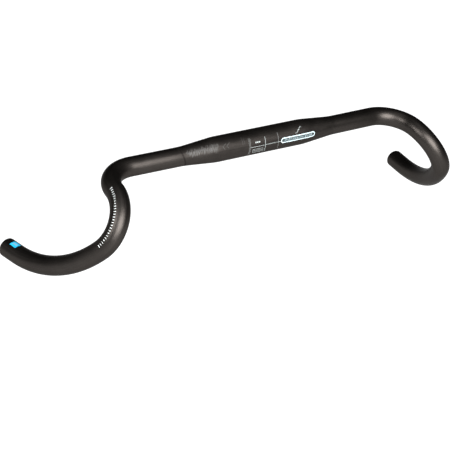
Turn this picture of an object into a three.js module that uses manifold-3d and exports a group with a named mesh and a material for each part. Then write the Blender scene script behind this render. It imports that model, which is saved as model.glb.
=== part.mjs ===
// Drop handlebar: a one-piece butted alloy tube with its printed transfers and two expander end plugs.
// Millimetres. +X is the rider's left, -Y is forward, +Z is up.
// The origin is the centre of the stem clamp, on the tube's centreline.

import * as THREE from 'three';
import { mergeVertices } from 'three/addons/utils/BufferGeometryUtils.js';
import Module from 'manifold-3d';

const wasm = await Module();
wasm.setup();

const DEG = Math.PI / 180;

// ---- Driving dimensions ----------------------------------------------------------------------

// Tube section
const TUBE_RADIUS = 11.9;
const TUBE_BORE_RADIUS = 10.2;
const CLAMP_RADIUS = 15.9;
const CLAMP_BORE_RADIUS = 13.4;
const TAPER_START = 65;
const TAPER_END = 110;
const TAPER_BLEND = 6;
const SECTION_SIDES = 24;

// Line of the tube, from the clamp to the bar end, in the order it is bent
const SWEEP_RADIUS = 400;
const SWEEP_ANGLE = 3 * DEG;
const SWEEP_DROOP = 30 * DEG;
const TOP_LENGTH = 47.5;
const CORNER_RADIUS = 40;
const RAMP_OUT = 4 * DEG;
const FLARE = 29.5 * DEG;
const HOOK_UPPER_RADIUS = 45;
const HOOK_UPPER_ANGLE = 38 * DEG;
const HOOK_LOWER_RADIUS = 39;
const HOOK_LOWER_ANGLE = 79 * DEG;
const DROP_TWIST = 11 * DEG;
const DROP_RADIUS = 165;
const DROP_ANGLE = 51 * DEG;
const END_LENGTH = 20;
const BEND_STEP = 7.5 * DEG;
const SHORTEST_STEP = 1;

// Printed transfers: clear film on the finished tube
const FILM_GAP = 0.3;
const FILM_THICKNESS = 0.2;
const FILM_ARC_STEPS = 3;
const CLAMP_GUIDE_HALF = 22;
const CENTRE_FILM_LIFT = 5 * DEG;
const CENTRE_FILM_WIDTH = 27;
const BADGE_CENTRE = 50.75;
const BADGE_LENGTH = 52.5;
const BADGE_WIDTH = 7.5;
const BADGE_LIFT = 11 * DEG;
const TILT_MARK_CENTRE = 52;
const TILT_MARK_LENGTH = 11;
const TILT_MARK_WIDTH = 9;
const TILT_MARK_LIFT = 46 * DEG;
const TONE_CENTRE = -80.5;
const TONE_LENGTH = 69;
const TONE_WIDTH = 24;
const TONE_LIFT = 40 * DEG;
const SCALE_START = 243;
const SCALE_END = 319;
const SCALE_WIDTH = 4.6;
const SCALE_TURN = 71 * DEG;
const END_MARK_LENGTH = 12;
const END_MARK_WIDTH = 9;
const END_MARK_INSET = 11;
const END_MARK_LIFT = 88 * DEG;

// Expander plug, measured inwards from the bar end
const PLUG_SIDES = 20;
const MERGE_DISTANCE = 1e-4;
const CAP_RADIUS = 9.7;
const CAP_THICKNESS = 4;
const CAP_EDGE_ROUND = 0.8;
const CAP_CONE_RADIUS = 8.4;
const CAP_CONE_END_RADIUS = 6.6;
const CAP_CONE_END = 9;
const CAP_BORE_RADIUS = 2.9;
const CAP_RECESS_RADIUS = 4.9;
const CAP_RECESS_DEPTH = 3.4;
const SLEEVE_RADIUS = 9.6;
const SLEEVE_END = 21;
const SLEEVE_WAIST_RADIUS = 6.9;
const SLEEVE_WEB = 5;
const SLEEVE_SLOT = 1.6;
const WEDGE_START = 14.5;
const WEDGE_END = 25;
const WEDGE_SHOULDER = 21.5;
const WEDGE_TIP_RADIUS = 6.3;
const WEDGE_RADIUS = 8.6;
const WEDGE_BORE_RADIUS = 2.8;
const SCREW_RADIUS = 2.5;
const SCREW_END = 26;
const SCREW_CHAMFER = 0.5;
const SCREW_HEAD_RADIUS = 4.5;
const SCREW_HEAD_TOP = 0.5;
const SCREW_HEAD_END = 3.1;
const SCREW_SOCKET_RADIUS = 1.75;
const SCREW_SOCKET_DEPTH = 2;
const SEAT_GAP = 0.3;

// ---- Materials -------------------------------------------------------------------------------

function finish(color, roughness, metalness) {
  return new THREE.MeshStandardMaterial({ color, roughness, metalness });
}

const MATT_BLACK = finish(0x1b1a19, 0.5, 0.2);
const PALE_INK = finish(0xc9cccb, 0.5, 0);
const TONE_INK = finish(0x33312f, 0.4, 0);
const CYAN_INK = finish(0x35b6dc, 0.45, 0);
const BLACK_NYLON = finish(0x161616, 0.6, 0);
const BLACK_RUBBER = finish(0x101010, 0.85, 0);
const ZINC_STEEL = finish(0xa9adb0, 0.35, 0.9);
const TURNED_ALLOY = finish(0xb9bcc0, 0.4, 0.8);

// ---- Line of the tube ------------------------------------------------------------------------

// One bend: the start point carried round an axis.
class BendCurve extends THREE.Curve {
  constructor(start, heading, axis, radius, angle) {
    super();
    this.axis = axis.clone();
    this.angle = angle;
    this.centre = axis.clone().cross(heading).multiplyScalar(radius).add(start);
    this.arm = start.clone().sub(this.centre);
  }

  getPoint(t, target = new THREE.Vector3()) {
    return target.copy(this.arm).applyAxisAngle(this.axis, t * this.angle).add(this.centre);
  }
}

// The left half of the bar, bent one stretch after another from the clamp's centre outwards.
class HalfBar extends THREE.CurvePath {
  constructor() {
    super();
    this.tip = new THREE.Vector3();
    this.heading = new THREE.Vector3(1, 0, 0);
    this.stations = [0];
    this.length = 0;
  }

  straight(length, cuts = [1]) {
    const end = this.tip.clone().addScaledVector(this.heading, length);
    this.add(new THREE.LineCurve3(this.tip.clone(), end));
    cuts.forEach((cut) => this.stations.push(this.length + cut * length));
    this.length += length;
    this.tip.copy(end);
  }

  bend(axis, radius, angle) {
    this.add(new BendCurve(this.tip, this.heading, axis, radius, angle));
    const steps = Math.ceil(angle / BEND_STEP);
    for (let step = 1; step <= steps; step += 1) {
      this.stations.push(this.length + (radius * angle * step) / steps);
    }
    this.length += radius * angle;
    this.tip.copy(this.curves.at(-1).getPoint(1));
    this.heading.applyAxisAngle(axis, angle);
  }
}

const half = new HalfBar();

// The straight middle has stations where its section changes.
const sectionChanges = [
  TAPER_START - TAPER_BLEND,
  TAPER_START,
  TAPER_START + TAPER_BLEND,
  TAPER_END - TAPER_BLEND,
  TAPER_END,
];
half.straight(TAPER_END, sectionChanges.map((x) => x / TAPER_END));

// The tops sweep back and droop a little.
half.bend(new THREE.Vector3(0, Math.sin(SWEEP_DROOP), Math.cos(SWEEP_DROOP)), SWEEP_RADIUS, SWEEP_ANGLE);
half.straight(TOP_LENGTH);

// The corner turns the tube level and forward, a few degrees outwards.
const rampHeading = new THREE.Vector3(Math.sin(RAMP_OUT), -Math.cos(RAMP_OUT), 0);
const cornerAxis = half.heading.clone().cross(rampHeading).normalize();
half.bend(cornerAxis, CORNER_RADIUS, half.heading.angleTo(rampHeading));

// The hook bends in one plane, which leans out from the vertical by the flare.
const down = new THREE.Vector3(0, 0, -1);
const outward = rampHeading.clone().cross(down);
const hookFall = down.clone().multiplyScalar(Math.cos(FLARE)).addScaledVector(outward, Math.sin(FLARE));
const hookAxis = rampHeading.clone().cross(hookFall).normalize();
half.bend(hookAxis, HOOK_UPPER_RADIUS, HOOK_UPPER_ANGLE);
half.bend(hookAxis, HOOK_LOWER_RADIUS, HOOK_LOWER_ANGLE);

// The drop below it keeps bending, in a plane turned outwards about the tube.
const dropAxis = hookAxis.clone().applyAxisAngle(half.heading, DROP_TWIST);
half.bend(dropAxis, DROP_RADIUS, DROP_ANGLE);
half.straight(END_LENGTH);

const HALF_LENGTH = half.length;

// A stretch of the bar through the given stations. A station is a distance along the tube from the
// clamp's centre: positive on the rider's left, negative on the rider's right.
class BarLine extends THREE.Curve {
  constructor(stations) {
    super();
    this.stations = stations;
  }

  get steps() {
    return this.stations.length - 1;
  }

  getPoint(t, target = new THREE.Vector3()) {
    const index = Math.min(Math.floor(t * this.steps), this.steps - 1);
    const [from, to] = this.stations.slice(index, index + 2);
    const station = THREE.MathUtils.lerp(from, to, t * this.steps - index);
    target.copy(half.getPoint(Math.abs(station) / HALF_LENGTH));
    target.x *= Math.sign(station);
    return target;
  }

  // Spaced points fall on the stations.
  getUtoTmapping(u) {
    return u;
  }
}

const leftStations = half.stations.slice(1);
const allStations = [...leftStations.map((station) => -station).reverse(), 0, ...leftStations];

function stretch(from, to) {
  const first = from + SHORTEST_STEP;
  const last = to - SHORTEST_STEP;
  const inside = allStations.filter((station) => station > first && station < last);
  return new BarLine([from, ...inside, to]);
}

// ---- Section of the tube ---------------------------------------------------------------------

// A ramp that starts at zero and leaves it along a short parabola.
function easedRamp(distance) {
  if (distance <= -TAPER_BLEND) return 0;
  if (distance >= TAPER_BLEND) return distance;
  return (distance + TAPER_BLEND) ** 2 / (4 * TAPER_BLEND);
}

// How much of the clamp's extra radius is left at a distance from the clamp's centre.
function swellAt(x) {
  const distance = Math.abs(x);
  const fallen = easedRamp(distance - TAPER_START) - easedRamp(distance - TAPER_END);
  return 1 - fallen / (TAPER_END - TAPER_START);
}

function outerRadiusAt(x) {
  return TUBE_RADIUS + (CLAMP_RADIUS - TUBE_RADIUS) * swellAt(x);
}

// Grow the straight middle of a swept shape from the plain tube's section to the clamp's.
function swellMiddle(geometry) {
  const vertices = geometry.attributes.position;
  const wallMiddle = (TUBE_RADIUS + TUBE_BORE_RADIUS) / 2;
  const outerGrowth = CLAMP_RADIUS - TUBE_RADIUS;
  const boreGrowth = CLAMP_BORE_RADIUS - TUBE_BORE_RADIUS;
  for (let index = 0; index < vertices.count; index += 1) {
    const x = vertices.getX(index);
    const y = vertices.getY(index);
    const z = vertices.getZ(index);
    if (Math.abs(x) < TAPER_END + TAPER_BLEND) {
      const radius = Math.hypot(y, z);
      const growth = radius > wallMiddle ? outerGrowth : boreGrowth;
      const scale = 1 + (growth * swellAt(x)) / radius;
      vertices.setXYZ(index, x, y * scale, z * scale);
    }
  }
  return geometry;
}

function sweep(section, line, curveSegments) {
  const options = { steps: line.steps, curveSegments, extrudePath: line };
  return swellMiddle(new THREE.ExtrudeGeometry(section, options));
}

function barTube() {
  const section = new THREE.Shape();
  section.absarc(0, 0, TUBE_RADIUS, 0, 2 * Math.PI);
  const bore = new THREE.Path();
  bore.absarc(0, 0, TUBE_BORE_RADIUS, 0, 2 * Math.PI);
  section.holes.push(bore);
  return sweep(section, new BarLine(allStations), SECTION_SIDES / 2);
}

// A film on the tube between two stations. Its middle faces the given way, and width is measured
// round the tube.
function film(from, to, facing, width) {
  const line = stretch(from, to);
  const middle = Math.floor(line.steps / 2);
  const frames = line.computeFrenetFrames(line.steps, false);
  const turn = Math.atan2(facing.dot(frames.binormals[middle]), facing.dot(frames.normals[middle]));
  const halfArc = width / 2 / outerRadiusAt(line.getPoint(0.5).x);
  const inner = TUBE_RADIUS + FILM_GAP;
  const section = new THREE.Shape();
  section.absarc(0, 0, inner + FILM_THICKNESS, turn - halfArc, turn + halfArc, false);
  section.absarc(0, 0, inner, turn + halfArc, turn - halfArc, true);
  return sweep(section, line, FILM_ARC_STEPS);
}

// ---- Expander plug ---------------------------------------------------------------------------

// A turned piece. The profile lists [radius, depth] pairs, with depth measured inwards from the
// bar end, and runs so that material is on its left seen in the radius and height plane.
function turned(profile) {
  const points = profile.map(([radius, depth]) => new THREE.Vector2(radius, -depth));
  return new THREE.LatheGeometry([...points, points[0]], PLUG_SIDES).rotateX(Math.PI / 2);
}

function toSolid(geometry) {
  const bare = geometry.clone();
  bare.deleteAttribute('normal');
  bare.deleteAttribute('uv');
  const merged = mergeVertices(bare, MERGE_DISTANCE);
  const vertProperties = new Float32Array(merged.attributes.position.array);
  const triVerts = new Uint32Array(merged.index.array);
  return new wasm.Manifold(new wasm.Mesh({ numProp: 3, vertProperties, triVerts }));
}

function toGeometry(solid) {
  const mesh = solid.getMesh();
  const geometry = new THREE.BufferGeometry();
  geometry.setAttribute('position', new THREE.BufferAttribute(mesh.vertProperties, 3));
  geometry.setIndex(new THREE.BufferAttribute(mesh.triVerts, 1));
  return geometry;
}

// The cap sits flush in the mouth of the tube. Its cone opens the sleeve's outer end.
function plugCap() {
  return turned([
    [CAP_BORE_RADIUS, CAP_CONE_END],
    [CAP_CONE_END_RADIUS, CAP_CONE_END],
    [CAP_CONE_RADIUS, CAP_THICKNESS],
    [CAP_RADIUS, CAP_THICKNESS],
    [CAP_RADIUS, CAP_EDGE_ROUND],
    [CAP_RADIUS - CAP_EDGE_ROUND, 0],
    [CAP_RECESS_RADIUS, 0],
    [CAP_RECESS_RADIUS, CAP_RECESS_DEPTH],
    [CAP_BORE_RADIUS, CAP_RECESS_DEPTH],
  ]);
}

// The rubber sleeve is slotted from its inner end, so that the wedge can spread it.
function plugSleeve() {
  const start = CAP_THICKNESS + SEAT_GAP;
  const body = turned([
    [WEDGE_RADIUS + SEAT_GAP, SLEEVE_END],
    [SLEEVE_RADIUS, SLEEVE_END],
    [SLEEVE_RADIUS, start],
    [CAP_CONE_RADIUS + SEAT_GAP, start],
    [SLEEVE_WAIST_RADIUS, CAP_CONE_END + SEAT_GAP],
    [SLEEVE_WAIST_RADIUS, WEDGE_START + SEAT_GAP],
  ]);
  const slotLength = SLEEVE_END - start - SLEEVE_WEB;
  let sleeve = toSolid(body);
  for (const turn of [0, Math.PI / 2]) {
    const slot = new THREE.BoxGeometry(3 * SLEEVE_RADIUS, SLEEVE_SLOT, 2 * slotLength);
    slot.translate(0, 0, -SLEEVE_END).rotateZ(turn);
    sleeve = sleeve.subtract(toSolid(slot));
  }
  return toGeometry(sleeve);
}

// The wedge nut draws into the sleeve's inner end.
function plugWedge() {
  return turned([
    [WEDGE_BORE_RADIUS, WEDGE_END],
    [WEDGE_RADIUS - CAP_EDGE_ROUND, WEDGE_END],
    [WEDGE_RADIUS, WEDGE_END - CAP_EDGE_ROUND],
    [WEDGE_RADIUS, WEDGE_SHOULDER],
    [WEDGE_TIP_RADIUS, WEDGE_START],
    [WEDGE_BORE_RADIUS, WEDGE_START],
  ]);
}

// A low-head screw with a hexagon socket.
function plugScrew() {
  const body = turned([
    [0, SCREW_END],
    [SCREW_RADIUS - SCREW_CHAMFER, SCREW_END],
    [SCREW_RADIUS, SCREW_END - SCREW_CHAMFER],
    [SCREW_RADIUS, SCREW_HEAD_END],
    [SCREW_HEAD_RADIUS, SCREW_HEAD_END],
    [SCREW_HEAD_RADIUS, SCREW_HEAD_TOP + SCREW_CHAMFER],
    [SCREW_HEAD_RADIUS - SCREW_CHAMFER, SCREW_HEAD_TOP],
    [0, SCREW_HEAD_TOP],
  ]);
  const socketHeight = 2 * SCREW_SOCKET_DEPTH;
  const socket = new THREE.CylinderGeometry(SCREW_SOCKET_RADIUS, SCREW_SOCKET_RADIUS, socketHeight, 6);
  socket.rotateX(Math.PI / 2).translate(0, 0, -SCREW_HEAD_TOP);
  return toGeometry(toSolid(body).subtract(toSolid(socket)));
}

// ---- Assembly --------------------------------------------------------------------------------

const bar = new THREE.Group();

function addMesh(parent, name, geometry, material) {
  const mesh = new THREE.Mesh(geometry, material);
  mesh.name = name;
  parent.add(mesh);
}

// A left-hand direction or place, carried to a side of the bar.
function mirrored(vector, sign) {
  return vector.clone().multiply(new THREE.Vector3(sign, 1, 1));
}

// A direction square to the straight middle, lifted from straight ahead by an angle.
function ahead(lift) {
  return new THREE.Vector3(0, -Math.cos(lift), Math.sin(lift));
}

// The lever scale faces sideways off the hook, turned a little towards its outside.
function scaleFacing() {
  const middle = new BarLine([SCALE_START, SCALE_END]);
  const outside = middle.getTangent(0.5).cross(hookAxis).normalize();
  return outside.multiplyScalar(Math.cos(SCALE_TURN)).addScaledVector(hookAxis, Math.sin(SCALE_TURN));
}

// The end mark faces almost straight up off the end of the drop.
function endMarkFacing() {
  const sideways = down.clone().cross(half.heading).normalize();
  const upward = sideways.clone().cross(half.heading);
  return sideways.multiplyScalar(Math.cos(END_MARK_LIFT)).addScaledVector(upward, Math.sin(END_MARK_LIFT));
}

// A film centred on a distance from the clamp's centre, along the straight middle.
function middleFilm(centre, length, lift, width) {
  return film(centre - length / 2, centre + length / 2, ahead(lift), width);
}

const guideFilm = middleFilm(0, 2 * CLAMP_GUIDE_HALF, CENTRE_FILM_LIFT, CENTRE_FILM_WIDTH);
const badgeFilm = middleFilm(BADGE_CENTRE, BADGE_LENGTH, BADGE_LIFT, BADGE_WIDTH);
const tiltFilm = middleFilm(TILT_MARK_CENTRE, TILT_MARK_LENGTH, TILT_MARK_LIFT, TILT_MARK_WIDTH);
const toneFilm = middleFilm(TONE_CENTRE, TONE_LENGTH, TONE_LIFT, TONE_WIDTH);

addMesh(bar, 'bar_tube', barTube(), MATT_BLACK);
addMesh(bar, 'clamp_guide_print', guideFilm, PALE_INK);
addMesh(bar, 'front_badge', badgeFilm, PALE_INK);
addMesh(bar, 'tilt_mark', tiltFilm, PALE_INK);
addMesh(bar, 'tone_graphic', toneFilm, TONE_INK);

// Only the right end carries a mark on top.
const markStart = END_MARK_INSET - HALF_LENGTH;
const markFacing = mirrored(endMarkFacing(), -1);
const markFilm = film(markStart, markStart + END_MARK_LENGTH, markFacing, END_MARK_WIDTH);
addMesh(bar, 'right_end_mark', markFilm, CYAN_INK);

for (const [side, sign] of [['right', -1], ['left', 1]]) {
  const [from, to] = sign > 0 ? [SCALE_START, SCALE_END] : [-SCALE_END, -SCALE_START];
  const scale = film(from, to, mirrored(scaleFacing(), sign), SCALE_WIDTH);
  addMesh(bar, `${side}_lever_scale`, scale, PALE_INK);

  const plug = new THREE.Group();
  plug.position.copy(mirrored(half.tip, sign));
  plug.quaternion.setFromUnitVectors(new THREE.Vector3(0, 0, 1), mirrored(half.heading, sign));
  addMesh(plug, `${side}_plug_cap`, plugCap(), BLACK_NYLON);
  addMesh(plug, `${side}_plug_sleeve`, plugSleeve(), BLACK_RUBBER);
  addMesh(plug, `${side}_plug_wedge`, plugWedge(), TURNED_ALLOY);
  addMesh(plug, `${side}_plug_screw`, plugScrew(), ZINC_STEEL);
  bar.add(plug);
}

export default bar;
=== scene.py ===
"""Drop handlebar: finished surfaces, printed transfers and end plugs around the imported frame.

Metres. +X is the rider's left, -Y is forward, +Z is up. Stations are distances along the tube from
the clamp's centre, positive on the rider's left. A turn is an angle round the tube, from straight
ahead at the clamp and upwards, carried along the tube without twist.
"""

import math

import bmesh
import bpy
from mathutils import Matrix, Vector


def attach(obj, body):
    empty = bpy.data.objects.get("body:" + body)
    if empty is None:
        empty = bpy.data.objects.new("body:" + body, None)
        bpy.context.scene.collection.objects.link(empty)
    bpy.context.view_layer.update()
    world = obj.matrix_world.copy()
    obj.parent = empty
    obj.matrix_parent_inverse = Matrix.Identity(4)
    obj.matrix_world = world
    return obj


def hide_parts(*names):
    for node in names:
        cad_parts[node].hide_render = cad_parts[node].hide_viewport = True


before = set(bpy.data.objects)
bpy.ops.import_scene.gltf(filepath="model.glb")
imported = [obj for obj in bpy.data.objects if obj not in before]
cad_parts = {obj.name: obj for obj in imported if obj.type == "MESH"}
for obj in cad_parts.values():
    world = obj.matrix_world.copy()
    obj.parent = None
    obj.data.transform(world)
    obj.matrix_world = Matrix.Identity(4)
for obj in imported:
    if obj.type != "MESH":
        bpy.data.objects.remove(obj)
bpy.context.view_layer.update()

MM = 0.001
TURN = 2 * math.pi
SIDES = (("right", -1), ("left", 1))
MERGE = 0.001 * MM
WIDE_MERGE = 0.002 * MM

# ---- Sizes of the bar ------------------------------------------------------------------------

TUBE_RADIUS = 11.9 * MM
TUBE_WALL = 1.7 * MM
CLAMP_RADIUS = 15.9 * MM
CLAMP_WALL = 2.5 * MM
TAPER_START = 65 * MM
TAPER_END = 110 * MM
TAPER_EASE = 6 * MM
RIM_ROUND = 0.6 * MM
RIM_SQUARENESS = 0.4

SWEEP_RADIUS = 400 * MM
SWEEP_ANGLE = math.radians(3)
SWEEP_DROOP = math.radians(30)
TOP_LENGTH = 47.5 * MM
CORNER_RADIUS = 40 * MM
RAMP_OUT = math.radians(4)
FLARE = math.radians(29.5)
HOOK_UPPER_RADIUS = 45 * MM
HOOK_UPPER_ANGLE = math.radians(38)
HOOK_LOWER_RADIUS = 39 * MM
HOOK_LOWER_ANGLE = math.radians(79)
DROP_TWIST = math.radians(11)
DROP_RADIUS = 165 * MM
DROP_ANGLE = math.radians(51)
END_LENGTH = 20 * MM
LINE_STEP = 1 * MM

INK_GAP = 0.012 * MM
INK_THICKNESS = 0.04 * MM
INK_LAYER = 0.05 * MM
INK_CELL = 0.8

ZONE_SLANT = 0.3
ZONE_RIGHT_EDGE = 112.2 * MM
ZONE_LEFT_EDGE = 107.5 * MM

# ---- Line of the bar -------------------------------------------------------------------------


class Bending:
    """The left half of the bar, bent one stretch after another from the clamp's centre."""

    def __init__(self):
        self.place = Vector((0, 0, 0))
        self.heading = Vector((1, 0, 0))
        self.front = Vector((0, -1, 0))
        self.length = 0.0
        self.stops = [(self.place, self.front)]

    def straight(self, length):
        start = self.place
        steps = math.ceil(length / LINE_STEP)
        for step in range(1, steps + 1):
            self.place = start + self.heading * (length * step / steps)
            self.stops.append((self.place, self.front))
        self.length += length

    def bend(self, axis, radius, angle):
        arm = axis.cross(self.heading) * -radius
        centre = self.place - arm
        heading, front = self.heading, self.front
        steps = math.ceil(radius * angle / LINE_STEP)
        for step in range(1, steps + 1):
            turned = Matrix.Rotation(angle * step / steps, 3, axis)
            self.place = centre + turned @ arm
            self.heading = turned @ heading
            self.front = turned @ front
            self.stops.append((self.place, self.front))
        self.length += radius * angle


half = Bending()
half.straight(TAPER_END)
half.bend(Vector((0, math.sin(SWEEP_DROOP), math.cos(SWEEP_DROOP))), SWEEP_RADIUS, SWEEP_ANGLE)
half.straight(TOP_LENGTH)
ramp_heading = Vector((math.sin(RAMP_OUT), -math.cos(RAMP_OUT), 0))
corner_axis = half.heading.cross(ramp_heading).normalized()
half.bend(corner_axis, CORNER_RADIUS, half.heading.angle(ramp_heading))
down = Vector((0, 0, -1))
outward = ramp_heading.cross(down)
hook_fall = down * math.cos(FLARE) + outward * math.sin(FLARE)
hook_axis = ramp_heading.cross(hook_fall).normalized()
half.bend(hook_axis, HOOK_UPPER_RADIUS, HOOK_UPPER_ANGLE)
half.bend(hook_axis, HOOK_LOWER_RADIUS, HOOK_LOWER_ANGLE)
drop_axis = Matrix.Rotation(DROP_TWIST, 3, half.heading) @ hook_axis
half.bend(drop_axis, DROP_RADIUS, DROP_ANGLE)
half.straight(END_LENGTH)
half_length = half.length


def mirrored(vector, sign):
    return Vector((sign * vector.x, vector.y, vector.z))


def plain_object(name, mesh):
    made = bpy.data.objects.new(name, mesh)
    bpy.context.scene.collection.objects.link(made)
    return made


def bar_line():
    """The whole centreline, from the right end to the left end, with the front direction on it."""
    stops = [(mirrored(place, -1), mirrored(front, -1)) for place, front in half.stops[:0:-1]]
    stops += half.stops
    mesh = bpy.data.meshes.new("bar_line")
    edges = [(index, index + 1) for index in range(len(stops) - 1)]
    mesh.from_pydata([place for place, front in stops], edges, [])
    fronts = mesh.attributes.new("front", "FLOAT_VECTOR", "POINT")
    for index, (place, front) in enumerate(stops):
        fronts.data[index].vector = front
    return plain_object("bar_line", mesh)


line = bar_line()

# ---- Node work -------------------------------------------------------------------------------


class Wire:
    """A socket of a node tree. Sums written with it add Math nodes."""

    def __init__(self, works, socket):
        self.works = works
        self.socket = socket

    def other(self, name):
        """Another output of the same node."""
        return Wire(self.works, self.socket.node.outputs[name])

    def math(self, operation, *terms):
        return self.works.sum(operation, self, *terms)

    def __add__(self, term):
        return self.math("ADD", term)

    def __sub__(self, term):
        return self.math("SUBTRACT", term)

    def __rsub__(self, term):
        return self.works.sum("SUBTRACT", term, self)

    def __mul__(self, term):
        return self.math("MULTIPLY", term)

    def __truediv__(self, term):
        return self.math("DIVIDE", term)

    def __rtruediv__(self, term):
        return self.works.sum("DIVIDE", term, self)

    def __pow__(self, term):
        return self.math("POWER", term)

    def __neg__(self):
        return self.math("MULTIPLY", -1.0)

    def __abs__(self):
        return self.math("ABSOLUTE")

    __radd__ = __add__
    __rmul__ = __mul__

    def least(self, term):
        return self.math("MINIMUM", term)

    def most(self, term):
        return self.math("MAXIMUM", term)

    def between(self, low, high):
        return self.most(low).least(high)


class Works:
    """A node tree that is being written."""

    def __init__(self, tree):
        self.tree = tree

    def node(self, kind, settings=None, sockets=None, out=0):
        """Adds a node: its settings first, then the value or link of each socket. Returns an output."""
        made = self.tree.nodes.new(kind)
        for name, value in (settings or {}).items():
            setattr(made, name, value)
        for name, value in (sockets or {}).items():
            self.feed(made.inputs[name], value)
        return Wire(self, made.outputs[out]) if made.outputs else made

    def feed(self, socket, value):
        if isinstance(value, list):
            for one in value:
                self.feed(socket, one)
        elif isinstance(value, Wire):
            self.tree.links.new(value.socket, socket)
        else:
            socket.default_value = value

    def sum(self, operation, *terms):
        sockets = dict(enumerate(terms))
        return self.node("ShaderNodeMath", {"operation": operation}, sockets)

    def vector(self, operation, *terms, scale=None):
        sockets = dict(enumerate(terms))
        if scale is not None:
            sockets["Scale"] = scale
        return self.node("ShaderNodeVectorMath", {"operation": operation}, sockets)

    def axes(self, vector):
        x = self.node("ShaderNodeSeparateXYZ", sockets={0: vector})
        return x, x.other("Y"), x.other("Z")

    def joined(self, x=0.0, y=0.0, z=0.0):
        return self.node("ShaderNodeCombineXYZ", sockets={0: x, 1: y, 2: z})


SOCKETS = {
    "Geometry": "NodeSocketGeometry",
    "Object": "NodeSocketObject",
    "Material": "NodeSocketMaterial",
    "Float": "NodeSocketFloat",
    "Int": "NodeSocketInt",
}


def new_tree(name, inputs):
    """A geometry tree with named inputs. Returns its works, its inputs by name and its finishing call."""
    tree = bpy.data.node_groups.new(name, "GeometryNodeTree")
    tree.interface.new_socket("Geometry", in_out="OUTPUT", socket_type="NodeSocketGeometry")
    for label, kind in {"Geometry": "Geometry", **inputs}.items():
        tree.interface.new_socket(label, in_out="INPUT", socket_type=SOCKETS[kind])
    works = Works(tree)
    first = works.node("NodeGroupInput")
    given = {label: first.other(label) for label in ["Geometry", *inputs]}

    def done(geometry):
        works.node("NodeGroupOutput", sockets={0: geometry})
        return tree

    return works, given, done


def run_tree(name, mesh, tree, values):
    """Runs a tree on a mesh with the values of its inputs, and keeps the result as a plain mesh object."""
    start = plain_object(name + "_start", mesh)
    modifier = start.modifiers.new("making", "NODES")
    modifier.node_group = tree
    for item in tree.interface.items_tree:
        if item.in_out == "INPUT" and item.name in values:
            modifier[item.identifier] = values[item.name]
    graph = bpy.context.evaluated_depsgraph_get()
    graph.update()
    made = bpy.data.meshes.new_from_object(start.evaluated_get(graph), depsgraph=graph)
    made.name = name
    start.modifiers.remove(modifier)
    bpy.data.objects.remove(start)
    return made


def empty_mesh():
    return bpy.data.meshes.new("start")


# ---- Trees -----------------------------------------------------------------------------------

BAR_INPUTS = {
    "Bar line": "Object",
    "Tube radius": "Float",
    "Tube wall": "Float",
    "Clamp radius": "Float",
    "Clamp wall": "Float",
    "Taper start": "Float",
    "Taper end": "Float",
    "Taper ease": "Float",
}
BAR_VALUES = {
    "Bar line": line,
    "Tube radius": TUBE_RADIUS,
    "Tube wall": TUBE_WALL,
    "Clamp radius": CLAMP_RADIUS,
    "Clamp wall": CLAMP_WALL,
    "Taper start": TAPER_START,
    "Taper end": TAPER_END,
    "Taper ease": TAPER_EASE,
}


def follow_bar_tree():
    """Carries flat work onto the bar: X is the station, Y the turn and Z the height off the surface."""
    works, given, done = new_tree("follow_bar", BAR_INPUTS)
    station, turn, height = works.axes(works.node("GeometryNodeInputPosition"))
    start, end, ease = (given[name] for name in ("Taper start", "Taper end", "Taper ease"))

    def eased(distance):
        blended = (distance + ease).between(0.0, ease * 2)
        return blended * blended / (ease * 4) + (distance - ease).most(0.0)

    reach = abs(station)
    swell = 1.0 - (eased(reach - start) - eased(reach - end)) / (end - start)
    inside = works.node(
        "GeometryNodeInputNamedAttribute", {"data_type": "FLOAT"}, {"Name": "inside"}
    )
    wall = given["Tube wall"] + swell * (given["Clamp wall"] - given["Tube wall"])
    outer = given["Tube radius"] + swell * (given["Clamp radius"] - given["Tube radius"])
    radius = outer + height - wall * inside

    shown = works.node("GeometryNodeObjectInfo", sockets={"Object": given["Bar line"]})
    curve = works.node("GeometryNodeMeshToCurve", sockets={0: shown.other("Geometry")})
    length = works.node("GeometryNodeCurveLength", sockets={0: curve})
    front = works.node(
        "GeometryNodeInputNamedAttribute", {"data_type": "FLOAT_VECTOR"}, {"Name": "front"}
    )
    sample = works.node(
        "GeometryNodeSampleCurve",
        {"mode": "LENGTH", "data_type": "FLOAT_VECTOR", "use_all_curves": True},
        {"Curves": curve, "Value": front, "Length": station + length * 0.5},
    )
    ahead = works.vector("NORMALIZE", sample)
    tangent = sample.other("Tangent")
    up = works.vector("NORMALIZE", works.vector("CROSS_PRODUCT", ahead, tangent))
    across, lift = turn.math("COSINE"), turn.math("SINE")
    arm = works.vector(
        "ADD", works.vector("SCALE", ahead, scale=across), works.vector("SCALE", up, scale=lift)
    )
    place = works.vector(
        "ADD", sample.other("Position"), works.vector("SCALE", arm, scale=radius)
    )
    kept = works.node(
        "GeometryNodeStoreNamedAttribute",
        {"data_type": "FLOAT_VECTOR", "domain": "POINT"},
        {
            "Geometry": given["Geometry"],
            "Name": "straight",
            "Value": works.joined(station, across * radius, lift * radius),
        },
    )
    return done(
        works.node("GeometryNodeSetPosition", sockets={"Geometry": kept, "Position": place})
    )


follow_bar = follow_bar_tree()


def on_bar(works, given, geometry):
    """Adds the follow_bar group, fed by the tree's own inputs."""
    sockets = {name: given[name] for name in BAR_INPUTS}
    return works.node(
        "GeometryNodeGroup", {"node_tree": follow_bar}, {**sockets, "Geometry": geometry}
    )


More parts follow.
